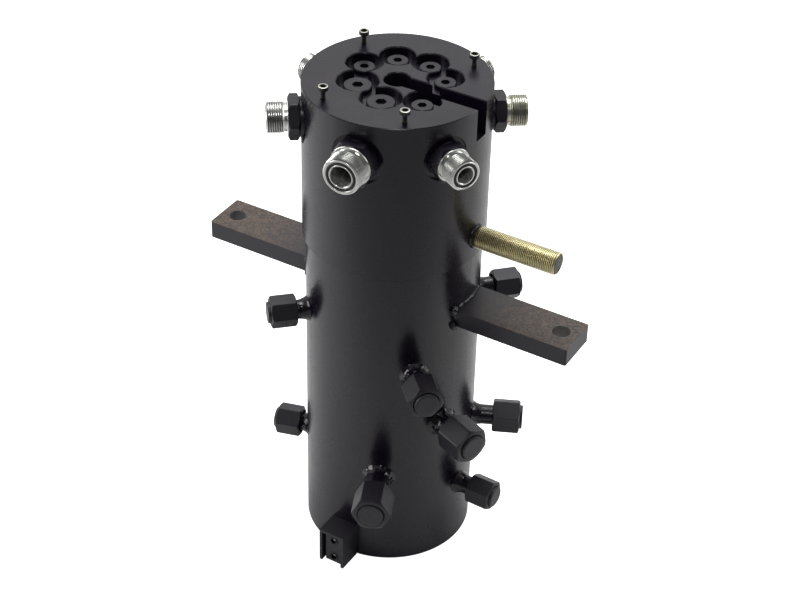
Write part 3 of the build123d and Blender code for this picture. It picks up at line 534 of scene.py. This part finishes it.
def plated_end(size):
    """The adapter's plated half: a bored body, its thread with roots painted dark as painted shade, and a
    grooved end face.
    """
    flat = size["flats"] / 2
    stub = size["port"] - 2.4
    crest, bore = size["thread"], size["bore"]
    root = crest - THREAD_DEPTH * ADAPTER_PITCH
    hex_end = COLLAR + HEX
    start, end = hex_end + NECK, ADAPTER_LENGTH
    lip = bore + SEAL_WALL
    groove = lip + SEAL_GROOVE
    floor = end - SEAL_DEPTH
    body = turned("body", [
        (bore, -18), (stub, -18), (stub, hex_end - 0.4), (flat - 0.75, hex_end - 0.35),
        (flat - 0.75, hex_end + 0.1), (flat - 1.0, hex_end + 0.3), (root + 0.1, hex_end + 0.3),
        (root - 0.35, hex_end + 0.8), (root - 0.35, start - 0.4), (root, start), (root, end - 1.4),
        (root - 0.1, end - 0.35), (root - 0.45, end), (groove + 0.15, end), (groove, end - 0.15),
        (groove, floor), (lip, floor), (lip, end - 0.12), (lip - 0.12, end), (bore + 0.35, end),
        (bore, end - 0.35),
    ], 96, ring=True)
    ridge = thread("ridge", crest, ADAPTER_PITCH, start, end, lead_in=1.3, steps=64)
    # A dark sleeve under the ridge: painted shade in the thread roots.
    roots = turned("roots", [
        (root - 0.3, start), (root + 0.4, start + 0.5), (root + 0.4, end - 1.9), (root - 0.3, end - 1.4),
    ], 96, ring=True)
    wall = turned("wall", [
        (bore - 0.2, -17), (bore + 0.2, -17), (bore + 0.2, end - 1.0), (bore - 0.2, end - 1.4),
    ], ring=True)
    return smooth(join(paint(body, ZINC), paint(ridge, ZINC), paint(roots, ROOT_SHADE_ZINC), paint(wall, BORED)))


def make_adapters():
    """Models each size once and copies it to its places round the head."""
    patterns = {}
    for name, (angle, size) in ADAPTERS.items():
        key = size["flats"]
        if key not in patterns:
            patterns[key] = painted_hexagon(size), plated_end(size)
        place = outwards(angle, ADAPTER_HEIGHT, ADAPTER_FACE)
        painted, plated = (settle(copy_of(half, name + ending), place)
                           for half, ending in zip(patterns[key], ("_hexagon", "_plated")))
        if name == YELLOWED_ADAPTER:
            plated.material_slots[0].material = WARM_ZINC
        finish_piece(plated, ROTOR, "zinc", name)
        finish_piece(painted, ROTOR, "zinc")
    for pair in patterns.values():
        for half in pair:
            bpy.data.objects.remove(half)


def make_face_rings():
    """Round-section seals in the adapters' end grooves."""
    rings = []
    for angle, size in ADAPTERS.values():
        clear_selection()
        middle = size["bore"] + SEAL_WALL + SEAL_GROOVE / 2
        bpy.ops.mesh.primitive_torus_add(major_radius=middle * MM, minor_radius=1.4 * MM,
                                         major_segments=64, minor_segments=16)
        reach = ADAPTER_FACE + ADAPTER_LENGTH - 1.15
        rings.append(settle(bpy.context.object, outwards(angle, ADAPTER_HEIGHT, reach)))
    seals = smooth(paint(join(*rings), RUBBER), 60)
    finish_piece(named(seals, "face_seal_rings"), ROTOR, "rubber", "face_rings")


# ------------------------------------------------------------- stud, screws
def make_stud():
    """A threaded stud with its core under the ridge painted dark as painted shade in the thread roots, and a
    sawn end.
    """
    root = STUD_CREST - THREAD_DEPTH * STUD_PITCH
    start, plain, end = HEAD_RADIUS - STUD_INSIDE, HEAD_RADIUS + STUD_PLAIN, HEAD_RADIUS + STUD_REACH
    core = turned("threaded_stud", [
        (root - 0.2, start), (root - 0.2, plain), (root + 0.3, plain + 0.4), (root + 0.3, end - 2.0),
        (root - 1.1, end - 0.4), (root - 1.4, end),
    ], 72)
    ridge = thread("ridge", STUD_CREST, STUD_PITCH, plain, end, lead_in=2.0)
    face = turned("face", [(root - 2.2, end - 1), (root - 2.2, end), (root - 2.6, end + 0.05)], 72)
    # The core is painted dark: painted shade in the thread roots.
    stud = smooth(join(paint(core, ROOT_SHADE_YELLOW), paint(ridge, STUD_ZINC), paint(face, SAWN)))
    finish_piece(settle(stud, outwards(0, STUD_HEIGHT)), ROTOR, "yellow_zinc", "drive_stud")


def make_cover_screws():
    """Socket-head screws standing proud of the head, threaded below; only their top rims are bright."""
    head = turned("cover_screw", [
        (1.9, 6.6), (2.6, 7.0), (4.9, 8.6), (4.9, 11.7), (4.7, 12.2), (3.2, 12.2),
    ], 48)
    head = cut(head, settle(prism("socket", 5.2, 6, 0.1), lifted(9.6)))
    rim = turned("rim", [(3.1, 11.9), (4.7, 11.9), (4.6, 12.25), (4.2, 12.35), (3.25, 12.35)], 48, ring=True)
    shank = turned("shank", [(1.95, -2), (1.95, 7.3)], 32)
    ridge = thread("ridge", 2.4, 0.85, 0.2, 7.0, lead_in=0.1, run_out=False, steps=32)
    dark = paint(join(head, shank, ridge), OXIDE)
    pattern = smooth(join(dark, paint(rim, SCREW_STEEL)))
    circle = Matrix.Translation((COVER_CIRCLE * MM, 0, 0))
    places = [lifted(HEAD_TOP) @ Matrix.Rotation(radians(angle), 4, "Z") @ circle for angle in COVER_ANGLES]
    finish_piece(copies(pattern, "cover_screw_set", places), ROTOR, "bright_steel", "cover_screws")


def make_anchor_screws():
    """Socket screws in the anchor's block, their rims just proud of it; a bright steel disc on each socket's
    floor is a painted glint.
    """
    body = turned("anchor_screw", [
        (4.0, -12), (4.0, -0.5), (4.7, -0.1), (4.7, 0.5), (4.5, 0.8), (4.2, 0.8),
    ], 48)
    body = cut(body, settle(prism("socket", 6.9, 8, 0.1), lifted(-3.2)))
    # A bright steel disc at the socket's floor is a painted highlight, the glint seen in each socket.
    floor = turned("socket_glint_floor", [(2.2, -3.3), (2.2, -2.2), (1.2, -1.5)], 24)
    pattern = smooth(join(paint(body, SCREW_BLACK), paint(floor, SCREW_STEEL)))
    places = [outwards(ANCHOR_ANGLE, height, ANCHOR_FACE, aside=ANCHOR_OFFSET)
              for height in ANCHOR_SCREW_HEIGHTS]
    finish_piece(copies(pattern, "anchor_screw_pair", places), SLEEVE, "black_oxide", "anchor_screws")


# -------------------------------------------------------------------- ports
def cap_shape(size):
    """A hexagon cap along Z with an open end and an eased mouth."""
    length = size["length"]
    inner, mouth = size["disc"] + 1.5, size["disc"] + 0.55
    nut = hexagon_nut("cap", size["flats"], length, 0.6, 0.4)
    nut = cut(nut, turned("recess", [(inner, -5), (inner, length - 4.0)]))
    eased = [(mouth, 0), (mouth, length - 0.5), (mouth + 0.5, length), (mouth + 0.5, length + 2)]
    return smooth(paint(cut(nut, turned("mouth", eased)), CAP_PAINT))


def make_caps():
    """The caps on the ports, one piece for each size."""
    for label, size in CAPS.items():
        places = [outwards(angle, height, SLEEVE_RADIUS + stand_off, turn)
                  for angle, height, cap, stand_off, turn in PORTS if cap == label]
        caps = copies(cap_shape(size), "caps_" + label, places)
        finish_piece(caps, SLEEVE, "black_paint", "cap_nuts_" + label)


def make_discs():
    """Blanking discs a little proud of the caps; in the cap that stands off furthest it stands lower."""
    longest = max(stand_off for *_, stand_off, _ in PORTS)
    for label, size in CAPS.items():
        rim = size["disc"]
        discs = []
        for angle, height, cap, stand_off, _ in PORTS:
            if cap != label:
                continue
            proud = LOW_DISC_PROUD if stand_off == longest else DISC_PROUD
            disc = turned("disc", [
                (rim, -5.5), (rim, proud - 0.7), (rim - 0.2, proud - 0.25), (rim - 0.7, proud),
                (rim - 3.5, proud),
            ], 72)
            reach = SLEEVE_RADIUS + stand_off + size["length"]
            discs.append(settle(disc, outwards(angle, height, reach)))
        group = smooth(paint(join(*discs), CAP_PAINT))
        finish_piece(named(group, "discs_" + label), SLEEVE, "black_paint", "blanking_discs_" + label)


# -------------------------------------------------------------------- welds
def ripple(bead, size, strength):
    """Uneven relief over a bead; size and strength in millimetres."""
    texture = bpy.data.textures.new("bead_relief", "CLOUDS")
    texture.noise_scale = size * MM
    texture.noise_depth = 3
    return modify(bead, "DISPLACE", texture=texture, strength=strength * MM, mid_level=0.5,
                  texture_coords="LOCAL")


def make_port_welds():
    """Concave flared beads from the sleeve up onto each tube."""
    beads = []
    for number, (angle, height, cap, stand_off, _) in enumerate(PORTS):
        tube = CAPS[cap]["tube"]
        top = min(8.5, stand_off - 1.0)
        profile = [(tube - 1, -9), (tube + 9, -9)]
        for share in (step / 10 for step in range(11)):
            profile.append((tube + 0.15 + 6.6 * (1 - share) ** 2, -3.0 + (top + 3.0) * share ** 1.15))
        profile.append((tube - 1, top))
        bead = ripple(turned("bead", profile, 72), 5, 1.3)
        beads.append(settle(bead, outwards(angle, height, SLEEVE_RADIUS, 40 * number)))
    welds = smooth(paint(join(*beads), WELD_PAINT), 80)
    finish_piece(named(welds, "port_weld_beads"), SLEEVE, "painted_weld", "port_welds")


def arm_bead(side, barrel):
    """A bead along the line where the bar on that side meets the barrel."""
    clear_selection()
    bpy.ops.mesh.primitive_plane_add(size=1)
    seam = bpy.context.object
    gap = 1.6
    seam.scale = ((ARM_THICKNESS + gap) * MM, (ARM_WIDTH + gap) * MM, 1)
    bpy.ops.object.transform_apply(location=False, rotation=False, scale=True)
    bpy.ops.object.mode_set(mode="EDIT")
    bpy.ops.mesh.select_all(action="SELECT")
    bpy.ops.mesh.bevel(offset=3 * MM, segments=4, affect="VERTICES")
    bpy.ops.mesh.delete(type="ONLY_FACE")
    bpy.ops.mesh.select_all(action="SELECT")
    bpy.ops.mesh.subdivide(number_cuts=7)
    bpy.ops.object.mode_set(mode="OBJECT")
    settle(seam, outwards(side, ARM_TOP - ARM_THICKNESS / 2, 95))
    modify(seam, "SHRINKWRAP", target=barrel, wrap_method="NEAREST_SURFACEPOINT")
    bpy.ops.object.convert(target="CURVE")
    seam.data.bevel_depth = ARM_BEAD * MM
    seam.data.bevel_resolution = 4
    bpy.ops.object.convert(target="MESH")
    modify(seam, "SUBSURF", levels=2, render_levels=2)
    return paint(ripple(seam, 5, 1.4), BEAD_PAINT)


def arm_lumps(side):
    """Lumps of weld at the bar's front corner on that side."""
    out = cos(radians(side)) * sqrt(SLEEVE_RADIUS ** 2 - (ARM_WIDTH / 2) ** 2)
    lumps = []
    for shift, drop, radius in ((1.5, -0.5, 4.6), (-1.0, 6.0, 3.4), (0.5, 17.5, 4.8)):
        clear_selection()
        bpy.ops.mesh.primitive_ico_sphere_add(radius=radius * MM, subdivisions=4)
        lump = ripple(bpy.context.object, 4, 3.2)
        centre = Vector((out, -ARM_WIDTH / 2 - shift, ARM_TOP - drop)) * MM
        lumps.append(paint(settle(lump, Matrix.Translation(centre)), WELD_PAINT))
    return lumps


def make_arm_welds():
    """Beads and lumps round both bars' roots, drawn on a plain barrel that is then removed."""
    barrel = turned("barrel", [(SLEEVE_RADIUS - 0.5, 240), (SLEEVE_RADIUS - 0.5, 350)], 256)
    beads = []
    for side in (0, 180):
        beads += [arm_bead(side, barrel), *arm_lumps(side)]
    bpy.data.objects.remove(barrel)
    welds = smooth(join(*beads), 80)
    finish_piece(named(welds, "arm_weld_beads"), SLEEVE, "painted_weld", "arm_welds")


def make_stud_weld():
    """A low bead round the stud's root."""
    profile = [(10, -4), (12.4, -4), (12.3, -0.6), (11.9, 0.5), (11.4, 1.2), (10.9, 1.7), (10, 1.7)]
    bead = ripple(turned("stud_weld_bead", profile), 3, 1.4)
    bead = smooth(paint(settle(bead, outwards(0, STUD_HEIGHT, HEAD_RADIUS)), BEAD_PAINT), 80)
    finish_piece(bead, ROTOR, "painted_weld", "stud_weld")


make_adapters()
make_face_rings()
make_stud()
make_cover_screws()
make_caps()
make_discs()
make_port_welds()
make_arm_welds()
make_stud_weld()
make_anchor_screws()

# -------------------------------------------------- finishes of the solids
FINISHES = {
    "sleeve": TURNED_PAINT, "rotor": TURNED_PAINT, "arm_right": BAR, "arm_left": BAR,
    "arm_welds": WELD_PAINT, "port_welds": WELD_PAINT, "stud_weld": WELD_PAINT,
    "anchor_channel": CAP_PAINT, "anchor_block": CAP_PAINT, "anchor_screws": OXIDE,
    "retaining_plate": PAINT, "retaining_bolts": OXIDE,
    "gallery_plugs_small": HEX_PAINT, "gallery_plugs_large": HEX_PAINT,
    "plug_rings": RUBBER, "face_rings": RUBBER, "port_rings": RUBBER, "seal_springs": RUBBER,
    "seal_rings": SLIPPER, "dust_wiper": SLIPPER,
    "upper_bush": BRONZE, "lower_bush": BRONZE, "upper_thrust_ring": BRONZE, "lower_thrust_ring": BRONZE,
    "cover_screws": SCREW_STEEL, "drive_stud": STUD_ZINC,
}
for label in CAPS:
    FINISHES["port_tubes_" + label] = PAINT
    FINISHES["cap_nuts_" + label] = FINISHES["blanking_discs_" + label] = CAP_PAINT
for name, node in nodes.items():
    paint(node, FINISHES.get(name, ZINC))


# ------------------------------------------------------------------- stage
def seen_directly(tree):
    """One for rays from the camera and through glass, zero for light and reflections."""
    path = tree.nodes.new("ShaderNodeLightPath")
    return combine(tree, "MAXIMUM", path.outputs["Is Camera Ray"], path.outputs["Is Transmission Ray"])


def make_floor():
    """A pale floor whose colour darkens in front of the object as painted shade, a painted fall-off of the
    light on it; the camera sees it as white.
    """
    clear_selection()
    bpy.ops.mesh.primitive_plane_add(size=12)
    floor = named(bpy.context.object, "floor")
    material, tree, shader, place = new_material("pale_floor")
    # Painted shade: the floor's colour falls from pale near the object to darker in front of it, so the
    # object reflects a darker floor there.
    ahead = along(tree, place, (0.5, -0.866, 0))
    ahead = combine(tree, "ADD", ahead, combine(tree, "MULTIPLY", noise(tree, place, 400, 2), 0.05))
    surface(tree, shader, grey_ramp(tree, ahead, (0.22, 0.87), (0.60, 0.46)), 0.9)
    feed(tree, shader.inputs["Specular IOR Level"], 0)
    feed(tree, shader.inputs["Emission Color"], (1, 1, 1))
    feed(tree, shader.inputs["Emission Strength"], seen_directly(tree))
    paint(floor, material)


def make_world():
    """A dim studio whose bright sweep stands behind the object."""
    world = bpy.data.worlds.new("white_studio")
    bpy.context.scene.world = world
    world.use_nodes = True
    tree = world.node_tree
    facing = along(tree, tree.nodes.new("ShaderNodeTexCoord").outputs["Generated"], (-0.42, 0.73, 0.54))
    sweep = stretch(tree, facing, 0.0, 0.85, 0.10, 0.85)
    background = tree.nodes["Background"]
    feed(tree, background.inputs["Color"], (1, 1, 1))
    feed(tree, background.inputs["Strength"], combine(tree, "MAXIMUM", seen_directly(tree), sweep))


def make_lamp(name, place, target, width, height, power):
    """A rectangular lamp; places and sizes in metres, power in watts."""
    lamp = bpy.data.lights.new(name, "AREA")
    lamp.shape = "RECTANGLE"
    lamp.size = width
    lamp.size_y = height
    lamp.energy = power
    holder = bpy.data.objects.new(name, lamp)
    bpy.context.scene.collection.objects.link(holder)
    aim = Vector(target) - Vector(place)
    holder.matrix_world = Matrix.Translation(place) @ aim.to_track_quat("-Z", "Y").to_matrix().to_4x4()


def make_camera():
    """Camera at the object's front right, 1.52 m out and 1.38 m up, looking down at it."""
    around, distance, height = 30, 1.51639, 1.37955
    yaw, pitch, roll = 0.0048, 0.6317, 0.0256
    ahead = Vector((sin(yaw) * cos(pitch), cos(yaw) * cos(pitch), -sin(pitch)))
    right = Vector((cos(yaw), -sin(yaw), 0))
    up = right.cross(ahead)
    tilted_right = cos(roll) * right + sin(roll) * up
    tilted_up = cos(roll) * up - sin(roll) * right
    aim = Matrix((tilted_right, tilted_up, -ahead)).transposed().to_4x4()
    lens = bpy.data.cameras.new("camera")
    lens.sensor_width = 36
    lens.lens = 85.3
    lens.clip_end = 50
    holder = bpy.data.objects.new("camera", lens)
    bpy.context.scene.collection.objects.link(holder)
    stand = Matrix.Translation((0, -distance, height))
    holder.matrix_world = Matrix.Rotation(radians(around), 4, "Z") @ stand @ aim
    bpy.context.scene.camera = holder


make_floor()
make_world()
make_lamp("left_softbox", (-1.6, -1.1, 0.9), (0, 0, 0.3), 0.9, 1.3, 18)
make_lamp("right_softbox", (1.4, 1.2, 1.0), (0, 0, 0.3), 0.7, 1.2, 7)
make_lamp("top_softbox", (-0.28, 0.46, 1.75), (-0.05, 0.1, 0.0), 1.0, 0.8, 15)
make_lamp("front_softbox", (0.63, -1.09, 2.05), (0, 0, 0.5), 0.5, 0.4, 5)
make_camera()
bpy.context.scene.view_settings.view_transform = "Standard"

bpy.context.view_layer.update()
